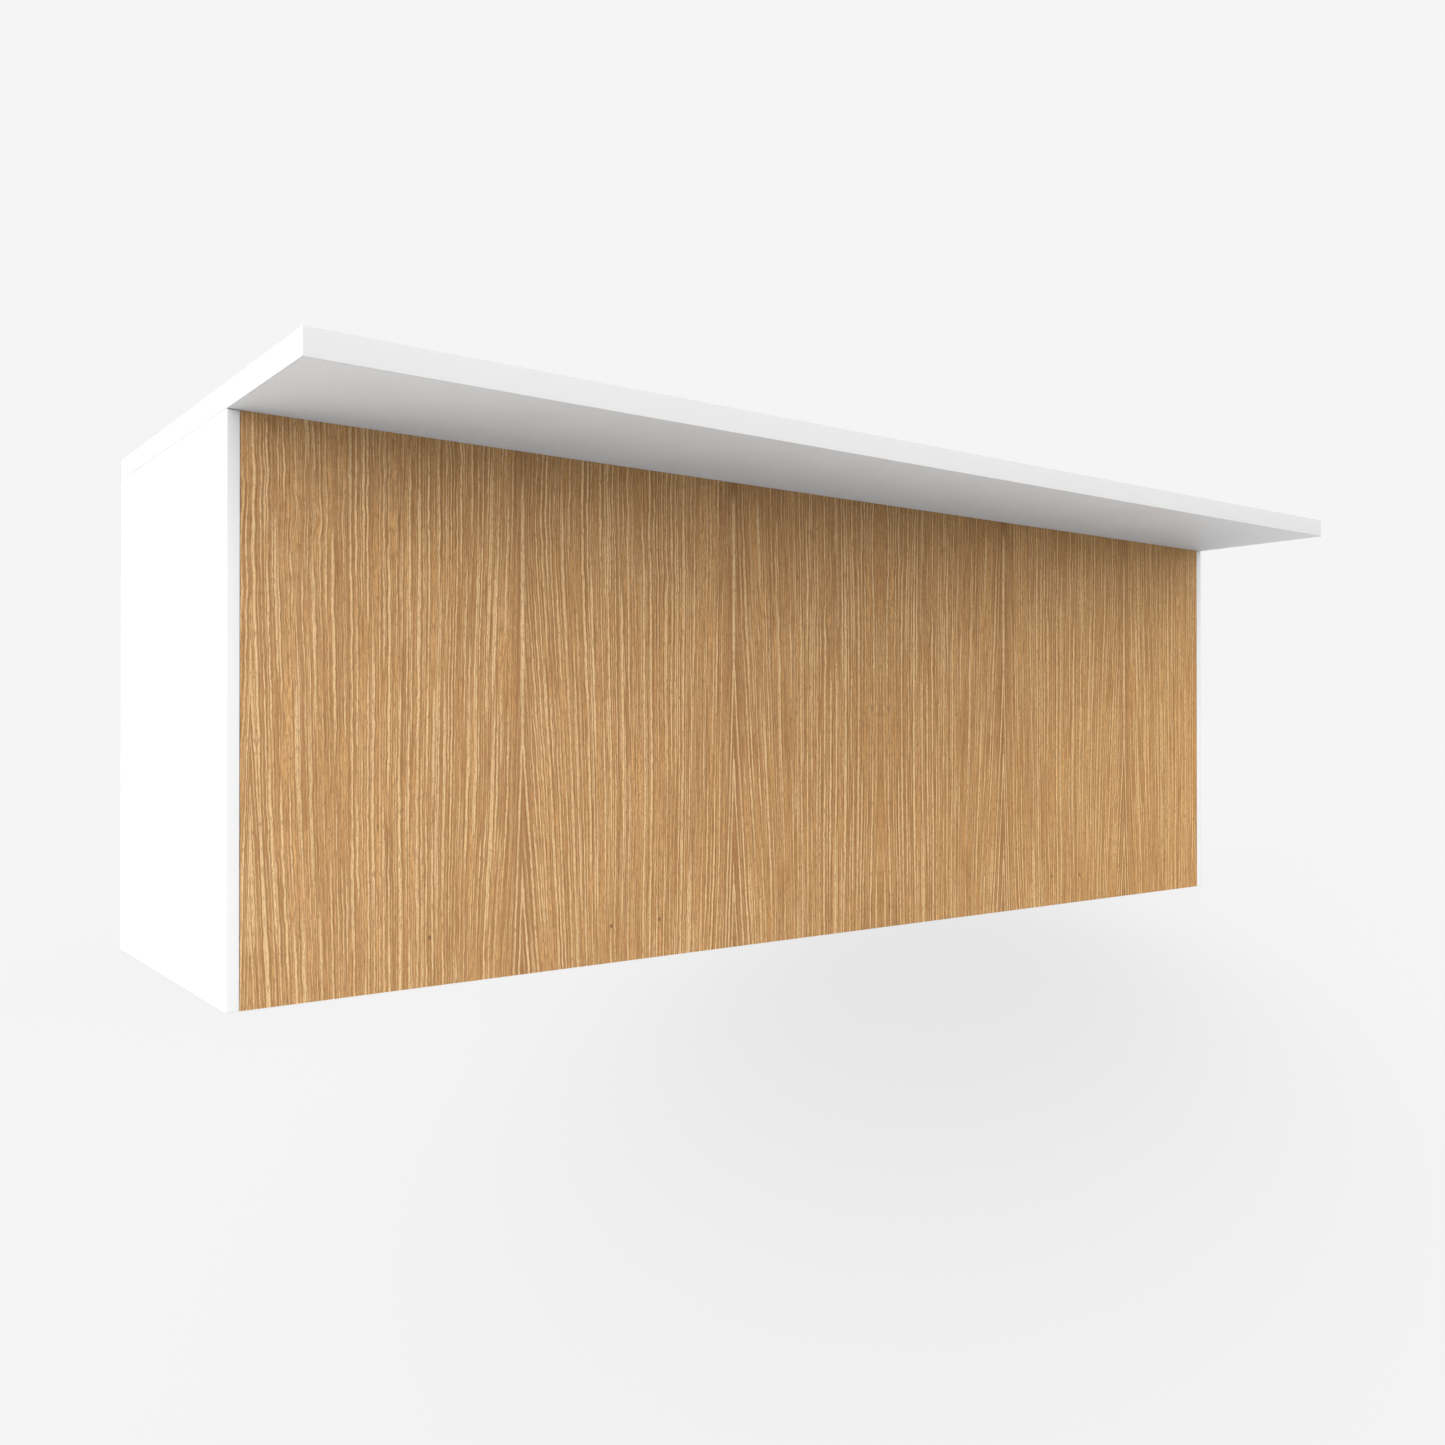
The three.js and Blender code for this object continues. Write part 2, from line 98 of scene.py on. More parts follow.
# ---- Materials ----
class Surface:
    """A material's node tree: each call adds a node and returns the output socket it makes."""

    def __init__(self, name):
        self.material = bpy.data.materials.new(name)
        self.material.use_nodes = True
        self.tree = self.material.node_tree
        self.tree.nodes.clear()
        self.shader = self.tree.nodes.new("ShaderNodeBsdfPrincipled")
        output = self.tree.nodes.new("ShaderNodeOutputMaterial")
        self.tree.links.new(self.shader.outputs["BSDF"], output.inputs["Surface"])
        place = self.tree.nodes.new("ShaderNodeTexCoord")
        self.place = place.outputs["Object"]
        axes = self.tree.nodes.new("ShaderNodeSeparateXYZ")
        self.tree.links.new(self.place, axes.inputs[0])
        self.x, self.y, self.z = axes.outputs

    def put(self, socket, value):
        if isinstance(value, bpy.types.NodeSocket):
            self.tree.links.new(value, socket)
        else:
            socket.default_value = value

    def math(self, operation, *values):
        node = self.tree.nodes.new("ShaderNodeMath")
        node.operation = operation
        for socket, value in zip(node.inputs, values):
            self.put(socket, value)
        return node.outputs[0]

    def add(self, *values):
        total = values[0]
        for value in values[1:]:
            total = self.math("ADD", total, value)
        return total

    def times(self, a, b):
        return self.math("MULTIPLY", a, b)

    def vector(self, x, y, z):
        node = self.tree.nodes.new("ShaderNodeCombineXYZ")
        for socket, value in zip(node.inputs, (x, y, z)):
            self.put(socket, value)
        return node.outputs[0]

    def noise(self, where, scale=1.0, detail=2.0, roughness=0.5):
        node = self.tree.nodes.new("ShaderNodeTexNoise")
        self.put(node.inputs["Vector"], where)
        node.inputs["Scale"].default_value = scale
        node.inputs["Detail"].default_value = detail
        node.inputs["Roughness"].default_value = roughness
        return node.outputs["Fac"]

    def chances(self, a, b):
        """Three random numbers from 0 to 1 that stay the same wherever a and b do."""
        node = self.tree.nodes.new("ShaderNodeTexWhiteNoise")
        node.noise_dimensions = "2D"
        self.put(node.inputs["Vector"], self.vector(a, b, 0.0))
        parts = self.tree.nodes.new("ShaderNodeSeparateColor")
        self.tree.links.new(node.outputs["Color"], parts.inputs[0])
        return parts.outputs

    def lines(self, across, along, pitch, width, reach, seed):
        """Fine lines side by side, one to each pitch of across, that swell and die away along their length.

        Returns how far a point is on a line, and how far it is in the dark line beside one: partly darker
        grain, and partly painted shadow that is stronger on one side of the line.
        """
        place = self.add(self.times(across, 1 / pitch), seed)
        row = self.math("FLOOR", place)
        shift, swell, start = self.chances(row, seed)
        centre = self.remap(shift, 0.0, 1.0, 0.28, 0.72, smooth=False)
        beside = self.times(self.math("SUBTRACT", self.math("FRACT", place), centre), pitch)
        off_line = self.math("ABSOLUTE", beside)
        where = self.vector(self.times(row, 7.31), seed, self.add(self.times(along, 1 / reach), start))
        life = self.remap(self.noise(where, 1, 2), 0.38, 0.56, 0.02, 1.0)
        half = self.times(life, self.remap(swell, 0.0, 1.0, 0.35 * width, 0.65 * width, smooth=False))
        core = self.remap(off_line, half, self.times(half, 0.25))
        shaded_flank = self.remap(off_line, self.times(half, 2.6), self.times(half, 1.2))
        shaded_flank = self.times(shaded_flank, self.math("SUBTRACT", 1.0, core))
        # Painted shadow: the dark line is stronger on one side of the pale line than on the other, as under
        # a raking light.
        shaded_flank = self.times(shaded_flank, self.remap(beside, -0.5 * width, 0.5 * width, 1.0, 0.45))
        return self.times(core, life), self.times(shaded_flank, life)

    def remap(self, value, low, high, to_low=0.0, to_high=1.0, smooth=True):
        node = self.tree.nodes.new("ShaderNodeMapRange")
        node.interpolation_type = "SMOOTHSTEP" if smooth else "LINEAR"
        for name, setting in zip(
            ("Value", "From Min", "From Max", "To Min", "To Max"),
            (value, low, high, to_low, to_high),
        ):
            self.put(node.inputs[name], setting)
        return node.outputs["Result"]

    def blend(self, share, first, second, mode="MIX"):
        node = self.tree.nodes.new("ShaderNodeMix")
        node.data_type = "RGBA"
        node.blend_type = mode
        self.put(node.inputs["Factor"], share)
        for name, value in (("A", first), ("B", second)):
            socket = [s for s in node.inputs if s.name == name and s.type == "RGBA"][0]
            self.put(socket, (*value, 1.0) if isinstance(value, tuple) else value)
        return [s for s in node.outputs if s.type == "RGBA"][0]

    def bump(self, height, distance, strength):
        node = self.tree.nodes.new("ShaderNodeBump")
        node.inputs["Distance"].default_value = distance
        node.inputs["Strength"].default_value = strength
        self.put(node.inputs["Height"], height)
        return node.outputs["Normal"]

    def finish(self, **settings):
        for name, value in settings.items():
            socket = self.shader.inputs[name.replace("_", " ")]
            self.put(socket, (*value, 1.0) if isinstance(value, tuple) else value)
        return self.material


def white_board():
    """Satin white melamine: a fine pearl emboss, with faint handling marks in the gloss."""
    s = Surface("white_melamine")
    cloud = s.noise(s.place, 6, 3, 0.6)
    mottle = s.noise(s.place, 160, 3, 0.6)
    tone = s.add(s.times(cloud, 0.5), s.times(mottle, 0.5))
    colour = s.blend(s.remap(tone, 0.35, 0.65), (0.868, 0.877, 0.882), (0.897, 0.906, 0.911))
    grain = s.noise(s.place, 1400, 2, 0.6)
    pearl = s.noise(s.place, 420, 2, 0.5)
    normal = s.bump(s.add(grain, pearl), 0.05 * MM, 0.35)
    rough = s.remap(s.add(s.times(cloud, 0.6), s.times(mottle, 0.4)), 0.3, 0.7, 0.42, 0.54)
    return s.finish(Base_Color=colour, Roughness=rough, Normal=normal, IOR=1.5, Specular_IOR_Level=0.3)


def edge_band_plastic(name, light):
    """Satin white edge band, with the fine lines that its extrusion leaves along it."""
    s = Surface(name)
    level = s.z if name.startswith("top") else s.y
    lines = s.noise(s.vector(s.times(s.x, 900), s.times(s.y, 900), s.times(s.z, 900)), 1, 2)
    cloud = s.noise(s.place, 9, 2)
    streak = s.noise(s.vector(s.times(level, 2600), 0.0, 0.0), 1, 1)
    tone = s.remap(s.add(s.times(cloud, 0.7), s.times(lines, 0.3)), 0.35, 0.65)
    colour = s.blend(tone, tuple(0.985 * c for c in light), light)
    normal = s.bump(s.add(s.times(lines, 0.5), s.times(streak, 0.8)), 0.03 * MM, 0.3)
    rough = s.remap(cloud, 0.3, 0.7, 0.36, 0.46)
    return s.finish(Base_Color=colour, Roughness=rough, Normal=normal, IOR=1.5)


# ---- The oak front: upright grain whose leaves are mirrored about one joint ----
OAK_JOINT = 61 * MM
OAK_FIRST_FLARE, OAK_LEAF = 315 * MM, 367 * MM  # the leaves are cut one after another, so the flare repeats
FLARE_START = 150 * MM  # the lines turn outward gently over about this height
FLARE_LEAN = 0.3  # how much more they open towards the joint than away from it
# Place from the joint, height of the fan's tip, spread for each metre down, half width of the fan, top of
# the pale stem over the fan, heights of the peaks of the pale arches inside it.
OAK_FLARES = (
    (OAK_FIRST_FLARE, 680 * MM, 0.055, 180 * MM, 710 * MM, (455 * MM, 290 * MM, 110 * MM)),
    (OAK_FIRST_FLARE + OAK_LEAF, 650 * MM, 0.060, 180 * MM, 700 * MM, (343 * MM, 136 * MM)),
    (OAK_FIRST_FLARE + 2 * OAK_LEAF, 560 * MM, 0.040, 180 * MM, 0.0, ()),
    (0.0, 420 * MM, 0.040, 80 * MM, 0.0, ()),
)
ARCH_EDGE, ARCH_CORE = 1.9 * MM, 0.7 * MM  # from its middle, where a pale arch ends and where it is full
# The dark line on each side of an arch is partly grain and partly painted shade beside the pale arch.
FLANK_MIDDLE, FLANK_EDGE, FLANK_CORE = 3.4 * MM, 1.8 * MM, 0.6 * MM  # the dark line on each side of an arch
STEM_EDGE, STEM_CORE = 4.0 * MM, 1.2 * MM
PIN_KNOTS = ((454 * MM, 55 * MM), (538 * MM, 53 * MM), (818 * MM, 64 * MM))  # from the joint, above the edge
PIN_KNOT_RADIUS = 3.2 * MM
FAN_FULL = 0.1  # shares of a fan's half width: the part that opens fully, and the heart's core and edge
HEART_CORE, HEART_EDGE = 0.03, 0.14
ARCH_CROWDING = 1.3  # how much closer the lines stand inside a fan than outside
OAK_DARK_WOOD, OAK_PALE_WOOD = (0.645, 0.340, 0.112), (0.870, 0.490, 0.180)
OAK_HEART_SHADE = (0.880, 0.840, 0.780)
# The tint of the painted shade under the top's overhang, strongest at the joint.
OAK_PAINTED_SHADE = (0.800, 0.800, 0.815)
OAK_LEFT_TINT, OAK_RIGHT_TINT = (0.99, 1.005, 1.08), (0.985, 0.965, 0.885)
OAK_MEAN = (0.550, 0.320, 0.143)
OAK_KNOT = (0.16, 0.07, 0.028)


def oak_flares(s, leaf, line, wobble):
    """Bends the lines outward below each flare.

    Returns the bent lines, and masks of the dark hearts, the pale arches and the dark lines beside those,
    which are partly grain and partly painted shade.
    """
    heart, arches, shaded_flanks = 0.0, 0.0, 0.0
    for place, tip, spread, reach, stem_top, peaks in OAK_FLARES:
        offset = s.math("SUBTRACT", leaf, place)
        away = s.math("ABSOLUTE", offset)
        side = s.math("SIGN", offset)
        lean = s.add(1.0, s.times(side, -FLARE_LEAN))
        below = s.math("MAXIMUM", s.math("SUBTRACT", tip, s.z), 0.0)
        opening = s.times(s.math("DIVIDE", s.times(below, below), s.add(below, FLARE_START)), spread)
        opening = s.times(s.times(lean, opening), s.remap(away, reach, FAN_FULL * reach))
        fan = s.math("SUBTRACT", away, opening)
        # Inside the fan the lines arch over its axis. Outside it they lean away to each side.
        inside = s.math("DIVIDE", s.math("MINIMUM", fan, 0.0), lean)
        outside = s.times(s.math("MAXIMUM", fan, 0.0), side)
        line = s.add(line, s.math("SUBTRACT", s.add(outside, s.times(inside, ARCH_CROWDING)), offset))
        if not peaks:
            continue
        heart = s.math("MAXIMUM", heart, s.remap(away, HEART_EDGE * reach, HEART_CORE * reach))
        for peak in peaks:
            peak_opening = (tip - peak) ** 2 / (tip - peak + FLARE_START) * spread
            from_arch = s.math("ABSOLUTE", s.add(fan, wobble, s.times(lean, peak_opening)))
            arches = s.math("MAXIMUM", arches, s.remap(from_arch, ARCH_EDGE, ARCH_CORE))
            from_flank = s.math("ABSOLUTE", s.math("SUBTRACT", from_arch, FLANK_MIDDLE))
            shaded_flanks = s.math("MAXIMUM", shaded_flanks, s.remap(from_flank, FLANK_EDGE, FLANK_CORE))
        over = s.times(s.remap(s.z, peaks[0] - 15 * MM, peaks[0] + 10 * MM), s.remap(s.z, stem_top, tip))
        from_stem = s.math("ABSOLUTE", s.add(offset, wobble))
        arches = s.math("MAXIMUM", arches, s.times(over, s.remap(from_stem, STEM_EDGE, STEM_CORE)))
    return line, heart, arches, shaded_flanks


def oak_shading(s, colour, leaf, low, high):
    """The slow changes over the whole panel, a painted shade among them, and its pin knots."""
    # Painted shade: darker towards the middle joint, and more so towards the top, as if shaded by the
    # overhang of the top.
    painted_shade = s.times(s.remap(leaf, 1.0, 0.05, smooth=False), s.remap(s.z, 60 * MM, 560 * MM, 0.6, 1.0))
    colour = s.blend(painted_shade, colour, OAK_PAINTED_SHADE, "MULTIPLY")
    # The colour turns a little yellower towards the right end, and more even towards the left end.
    drift = s.blend(s.remap(s.x, low.x, high.x, smooth=False), OAK_LEFT_TINT, OAK_RIGHT_TINT)
    colour = s.blend(1.0, colour, drift, "MULTIPLY")
    colour = s.blend(s.remap(s.x, 0.0, low.x, 0.0, 0.15, smooth=False), colour, OAK_MEAN)
    for knot_across, knot_height in PIN_KNOTS:
        dx = s.math("SUBTRACT", leaf, knot_across)
        dz = s.times(s.math("SUBTRACT", s.z, low.z + knot_height), 0.7)
        away = s.math("SQRT", s.add(s.times(dx, dx), s.times(dz, dz)))
        knot = s.remap(away, PIN_KNOT_RADIUS, 1.0 * MM)
        colour = s.blend(s.times(knot, 0.8), colour, OAK_KNOT)
    return colour


def oak_veneer():
    """Brushed, matt-lacquered oak veneer with upright grain in mirrored leaves."""
    s = Surface("oak_veneer")
    low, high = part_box("oak_panel")
    leaf = s.math("ABSOLUTE", s.math("SUBTRACT", s.x, OAK_JOINT))

    # The grain wanders slowly, ripples finely, and curls in patches near the top of the panel.
    wander = s.noise(s.vector(s.times(leaf, 4.5), 0.0, s.times(s.z, 2.2)), 1, 1)
    ripple = s.noise(s.vector(s.times(leaf, 60), 2.0, s.times(s.z, 34)), 1, 2, 0.6)
    curl = s.noise(s.vector(s.times(leaf, 36), 4.0, s.times(s.z, 15)), 1, 1)
    patch = s.noise(s.vector(s.times(leaf, 3.3), 6.0, s.times(s.z, 5.0)), 1, 1)
    curly = s.remap(s.add(patch, s.times(s.z, 0.55)), 0.74, 0.98)
    shift = s.times(s.math("SUBTRACT", wander, 0.5), 15 * MM)
    shift = s.add(shift, s.times(s.math("SUBTRACT", ripple, 0.5), 4.2 * MM))
    shift = s.add(shift, s.times(s.times(s.math("SUBTRACT", curl, 0.5), curly), 8 * MM))
    wobble = s.times(s.math("SUBTRACT", ripple, 0.5), 3.0 * MM)
    line, heart, arches, shaded_flanks = oak_flares(s, leaf, s.add(leaf, shift), wobble)

    def streaks(width, length, seed, detail=2.0):
        where = s.vector(s.times(line, 1 / width), seed, s.times(s.z, 1 / length))
        return s.noise(where, 1, detail, 0.55)

    # Strong lines stand in groups, with plainer wood between them.
    group = s.remap(streaks(42 * MM, 700 * MM, 83.0, 1), 0.36, 0.60, 0.50, 1.0)
    group = s.times(group, s.remap(heart, 0.0, 1.0, 1.0, 0.55))
    bold, bold_shaded_flank = s.lines(line, s.z, 12.6 * MM, 4.4 * MM, 240 * MM, 91.3)
    ridge, ridge_shaded_flank = s.lines(line, s.z, 7.6 * MM, 3.0 * MM, 170 * MM, 3.7)
    fine, fine_shaded_flank = s.lines(line, s.z, 4.1 * MM, 1.9 * MM, 100 * MM, 17.3)
    furrow, _ = s.lines(line, s.z, 6.7 * MM, 2.6 * MM, 55 * MM, 29.9)
    ridge, ridge_shaded_flank = s.times(ridge, group), s.times(ridge_shaded_flank, group)
    fine = s.times(fine, s.remap(group, 0.0, 1.0, 0.45, 0.95))
    bold = s.times(bold, s.remap(heart, 0.0, 1.0, 1.0, 0.35))
    # A pale line on the joint would be mirrored into one of twice its width.
    off_joint = s.remap(leaf, 2 * MM, 8 * MM)
    bold, ridge = s.times(bold, off_joint), s.times(ridge, off_joint)
    bands = streaks(34 * MM, 500 * MM, 41.1)
    rings = streaks(9 * MM, 220 * MM, 47.7, 3)
    hair = streaks(1.9 * MM, 22 * MM, 53.8, 2)
    blotch = s.noise(s.vector(s.times(leaf, 8), 61.0, s.times(s.z, 5)), 1, 2, 0.6)
    sheen = s.noise(s.vector(s.times(leaf, 45), 67.0, s.times(s.z, 90)), 1, 2, 0.6)
    tooth = s.noise(s.vector(s.times(s.x, 420), s.times(s.y, 420), s.times(s.z, 300)), 1, 2, 0.6)
    pore = s.remap(streaks(1.5 * MM, 10 * MM, 71.2, 1), 0.55, 0.66)
    uneven = s.remap(streaks(15 * MM, 130 * MM, 97.0, 1), 0.35, 0.60, 0.72, 1.0)

    # Where each layer shows, how strongly, and its colour, from the lowest to the highest.
    wood_layers = (
        (s.remap(rings, 0.45, 0.60), 0.90, (0.500, 0.252, 0.083)),
        (s.remap(blotch, 0.45, 0.75), 0.35, (0.650, 0.360, 0.165)),
        (heart, 0.68, (0.480, 0.228, 0.090)),
        (s.remap(hair, 0.40, 0.62), 0.62, (0.440, 0.220, 0.074)),
        # The dark lines beside the pale lines are partly grain and partly painted shadow of the raised
        # lines.
        (bold_shaded_flank, 0.90, (0.390, 0.185, 0.060)),
        (ridge_shaded_flank, 0.90, (0.385, 0.182, 0.058)),
        (fine_shaded_flank, 0.70, (0.400, 0.195, 0.064)),
        (furrow, 0.85, (0.365, 0.170, 0.053)),
        (fine, 0.80, (0.880, 0.565, 0.265)),
        (bold, 0.92, (0.985, 0.660, 0.315)),
        (ridge, 1.0, (0.970, 0.650, 0.325)),
    )
    figure_layers = (
        # Painted shade, with grain: dark lines on each side of the pale arches.
        (s.times(shaded_flanks, uneven), 0.80, (0.400, 0.190, 0.066)),
        (s.times(arches, uneven), 0.92, (0.990, 0.680, 0.340)),
        (pore, 0.55, (0.310, 0.145, 0.046)),
        # Painted sheen: paler curls in patches near the top, as a shimmer of light on the figured wood.
        (s.times(s.remap(sheen, 0.42, 0.62), curly), 0.12, (0.820, 0.560, 0.330)),
        (s.remap(tooth, 0.38, 0.62), 0.26, (0.410, 0.208, 0.072)),
    )
    colour = s.blend(s.remap(bands, 0.34, 0.66), OAK_DARK_WOOD, OAK_PALE_WOOD)
    for where, strength, tone in wood_layers:
        colour = s.blend(s.times(where, strength), colour, tone)
    colour = s.blend(s.times(heart, 0.75), colour, OAK_HEART_SHADE, "MULTIPLY")
    for where, strength, tone in figure_layers:
        colour = s.blend(s.times(where, strength), colour, tone)
    colour = oak_shading(s, colour, leaf, low, high)

    # Ridges stand up, and furrows, pores and hairlines sink in.
    reliefs = ((ridge, 1.0), (fine, 0.5), (furrow, -0.8), (pore, -0.3), (hair, -0.4), (tooth, 0.35))
    height = s.add(*(s.times(where, rise) for where, rise in reliefs))
    normal = s.bump(height, 0.5 * MM, 0.6)
    rough = s.remap(s.add(ridge, s.times(fine, 0.5), s.times(tooth, 0.4)), 0.0, 1.6, 0.62, 0.48)
    return s.finish(Base_Color=colour, Roughness=rough, Normal=normal, IOR=1.45, Specular_IOR_Level=0.35)


def bright_steel(name, tint, roughness):
    """Zinc-plated or cast metal, with fine scratches and a dull bloom in patches."""
    s = Surface(name)
    bloom = s.noise(s.place, 120, 3, 0.6)
    scratch = s.noise(s.vector(s.times(s.x, 500), s.times(s.y, 500), s.times(s.z, 6000)), 1, 2)
    colour = s.blend(s.remap(bloom, 0.35, 0.65), tuple(0.82 * c for c in tint), tint)
    normal = s.bump(s.add(s.times(scratch, 0.6), bloom), 0.04 * MM, 0.5)
    wear = s.add(s.times(bloom, 0.6), s.times(scratch, 0.4))
    rough = s.remap(wear, 0.3, 0.7, roughness - 0.08, roughness + 0.1)
    return s.finish(Base_Color=colour, Metallic=1.0, Roughness=rough, Normal=normal)


def powder_coat():
    """Light grey powder coat with its fine orange-peel texture."""
    s = Surface("coated_steel")
    peel = s.noise(s.place, 900, 2, 0.5)
    cloud = s.noise(s.place, 14, 2)
    colour = s.blend(s.remap(cloud, 0.35, 0.65), (0.56, 0.57, 0.575), (0.62, 0.628, 0.632))
    normal = s.bump(peel, 0.08 * MM, 0.6)
    rough = s.remap(peel, 0.3, 0.7, 0.42, 0.58)
    return s.finish(Base_Color=colour, Roughness=rough, Normal=normal, IOR=1.5)


def beech():
    s = Surface("beech")
    fleck = s.noise(s.vector(s.times(s.x, 900), s.times(s.y, 900), s.times(s.z, 120)), 1, 3)
    colour = s.blend(s.remap(fleck, 0.35, 0.7), (0.66, 0.45, 0.27), (0.50, 0.31, 0.17))
    return s.finish(Base_Color=colour, Roughness=0.7, Normal=s.bump(fleck, 0.1 * MM, 0.5))


WHITE = white_board()
# Painted shade: the top's edge band is a greyer copy of the uprights' white band, so that its front face
# comes out dimmer.
SHADED_TOP_BAND = edge_band_plastic("top_edging", (0.762, 0.762, 0.762))
UPRIGHT_BAND = edge_band_plastic("upright_edging", (0.897, 0.897, 0.896))
OAK = oak_veneer()
ZINC = bright_steel("zinc", (0.58, 0.59, 0.60), 0.42)
STEEL = bright_steel("bright_steel", (0.68, 0.69, 0.70), 0.3)
COATED = powder_coat()
BEECH = beech()


def paint(obj, material):
    obj.data.materials.clear()
    obj.data.materials.append(material)


def material_of(node):
    if node.endswith("_dowel"):
        return BEECH
    if node.endswith("_cam"):
        return ZINC
    if node.startswith(("rail_", "stiffening_rail")):
        return COATED
    if node.endswith("_bolt") or node.startswith("level"):
        return STEEL
    if node == "oak_panel":
        return OAK
    return SHADED_TOP_BAND if node.startswith("top_edging") else UPRIGHT_BAND if "edging" in node else WHITE


# ---- Mesh helpers ----
def as_object(name, bm, material, smooth_above=None):
    """A new object from bm. Faces are smooth, and edges sharper than smooth_above degrees stay crisp."""
    bmesh.ops.recalc_face_normals(bm, faces=bm.faces)
    if smooth_above is not None:
        for face in bm.faces:
            face.smooth = True
        for edge in bm.edges:
            edge.smooth = edge.calc_face_angle(0) < math.radians(smooth_above)
    mesh = bpy.data.meshes.new(name)
    bm.to_mesh(mesh)
    bm.free()
    mesh.materials.append(material)
    obj = bpy.data.objects.new(name, mesh)
    bpy.context.scene.collection.objects.link(obj)
    return obj


def box_mesh(low, high):
    bm = bmesh.new()
    bmesh.ops.create_cube(bm, size=1)
    size, centre = high - low, (high + low) / 2
    bmesh.ops.transform(bm, verts=bm.verts, matrix=Matrix.Translation(centre) @ Matrix.Diagonal((*size, 1)))
    return bm


def stand_for(obj, node, body=ROOT_BODY):
    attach(obj, body)
    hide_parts(node)


# ---- Edge bands, with their outer arrises rounded ----
def edge_band(node, outward):
    low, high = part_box(node)
    bm = box_mesh(low, high)
    face_level = max(v.co.dot(outward) for v in bm.verts)
    outer = [e for e in bm.edges if all(v.co.dot(outward) > face_level - 1e-6 for v in e.verts)]
    bmesh.ops.bevel(bm, geom=outer, offset=BAND_RADIUS * MM, segments=5, profile=0.5, affect="EDGES")
    band = as_object(f"{node}_band", bm, material_of(node), smooth_above=35)
    stand_for(band, node)


def make_edge_bands():
    edge_band("top_edging_front", -Y)
    edge_band("top_edging_back", Y)
    edge_band("top_edging_left", -X)
    edge_band("top_edging_right", X)
    for side in ("left", "right"):
        edge_band(f"{side}_side_edging_front", -Y)
        edge_band(f"{side}_side_edging_back", Y)
    edge_band("centre_support_edging", Y)


# ---- Turned and carved fittings, modelled in millimetres about their own axis ----
def rounded(outline, radius, steps=4):
    """The outline, with each corner between its ends turned into a curve that starts radius from it."""
    points = [Vector(outline[0])]
    for before, corner, after in zip(outline, outline[1:], outline[2:]):
        corner = Vector(corner)
        arms = [Vector(before) - corner, Vector(after) - corner]
        trim = min(radius, 0.45 * min(arm.length for arm in arms))
        start, end = (corner + arm.normalized() * trim for arm in arms)
        for i in range(steps + 1):
            t = i / steps
            points.append(start.lerp(corner, t).lerp(corner.lerp(end, t), t))
    return [*points, Vector(outline[-1])]


def ring_body(sections, sides=ROUND_SIDES):
    """A closed body about Z from (radius, height) sections. A radius may be a function of the angle."""
    bm = bmesh.new()
    angles = [math.tau * i / sides for i in range(sides)]
    rings = []
    for radius, height in sections:
        radii = [radius(a) if callable(radius) else radius for a in angles]
        ring = [bm.verts.new((r * math.cos(a), r * math.sin(a), height)) for r, a in zip(radii, angles)]
        rings.append(ring)
    for lower, upper in zip(rings, rings[1:]):
        for i in range(sides):
            bm.faces.new((lower[i - 1], lower[i], upper[i], upper[i - 1]))
    bm.faces.new(reversed(rings[0]))
    bm.faces.new(rings[-1])
    return bm


def tapered_prism(outline, top, bottom, taper=1.0):
    """The flat outline drawn down from top to bottom, where it is taper times its size."""
    bm = bmesh.new()
    upper = [bm.verts.new((x, y, top)) for x, y in outline]
    lower = [bm.verts.new((x * taper, y * taper, bottom)) for x, y in outline]
    for i in range(len(outline)):
        bm.faces.new((lower[i - 1], lower[i], upper[i], upper[i - 1]))
    bm.faces.new(reversed(lower))
    bm.faces.new(upper)
    return bm


def cross_cutter(arm, half_blade, depth, face):
    """A screwdriver's cross recess, sunk depth below the face."""
    one_arm = ((arm, -half_blade), (arm, half_blade), (half_blade, half_blade))
    above = 0.5  # the cutter starts this far above the face, and is wider there
    wider = 1 + above / depth
    outline = []
    for turns in range(4):
        cos, sin = round(math.cos(turns * math.pi / 2)), round(math.sin(turns * math.pi / 2))
        outline += [(wider * (x * cos - y * sin), wider * (x * sin + y * cos)) for x, y in one_arm]
    return tapered_prism(outline, face + above, face - depth, CROSS_TAPER)


def carved(body, cutters):
    """The body's bmesh with the cutters taken out of it, one after another."""
    target = as_object("carved", body, STEEL)
    tools = [as_object("cutter", cutter, STEEL) for cutter in cutters]
    for tool in tools:
        modifier = target.modifiers.new("cut", "BOOLEAN")
        modifier.solver = "EXACT"
        modifier.operation = "DIFFERENCE"
        modifier.object = tool
    result = bmesh.new()
    result.from_object(target, bpy.context.evaluated_depsgraph_get())
    for obj in (target, *tools):
        mesh = obj.data
        bpy.data.objects.remove(obj)
        bpy.data.meshes.remove(mesh)
    return result


def place_piece(name, shape, place, material, body=ROOT_BODY, node=None):
    """A copy of shape, in millimetres, set down at place, in metres."""
    bm = shape.copy()
    bmesh.ops.transform(bm, verts=bm.verts, matrix=place @ Matrix.Scale(MM, 4))
    piece = as_object(name, bm, material, smooth_above=CREASE)
    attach(piece, body)
    if node:
        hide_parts(node)


def standing(origin, outward, along):
    """The place whose local Z points outward and whose local Y points along."""
    turn = Matrix((along.cross(outward), along, outward)).transposed().to_4x4()
    return Matrix.Translation(origin) @ turn


def face_centre(node, outward):
    low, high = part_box(node)
    half = (high - low) / 2
    return (low + high) / 2 + outward * abs(half.dot(outward))


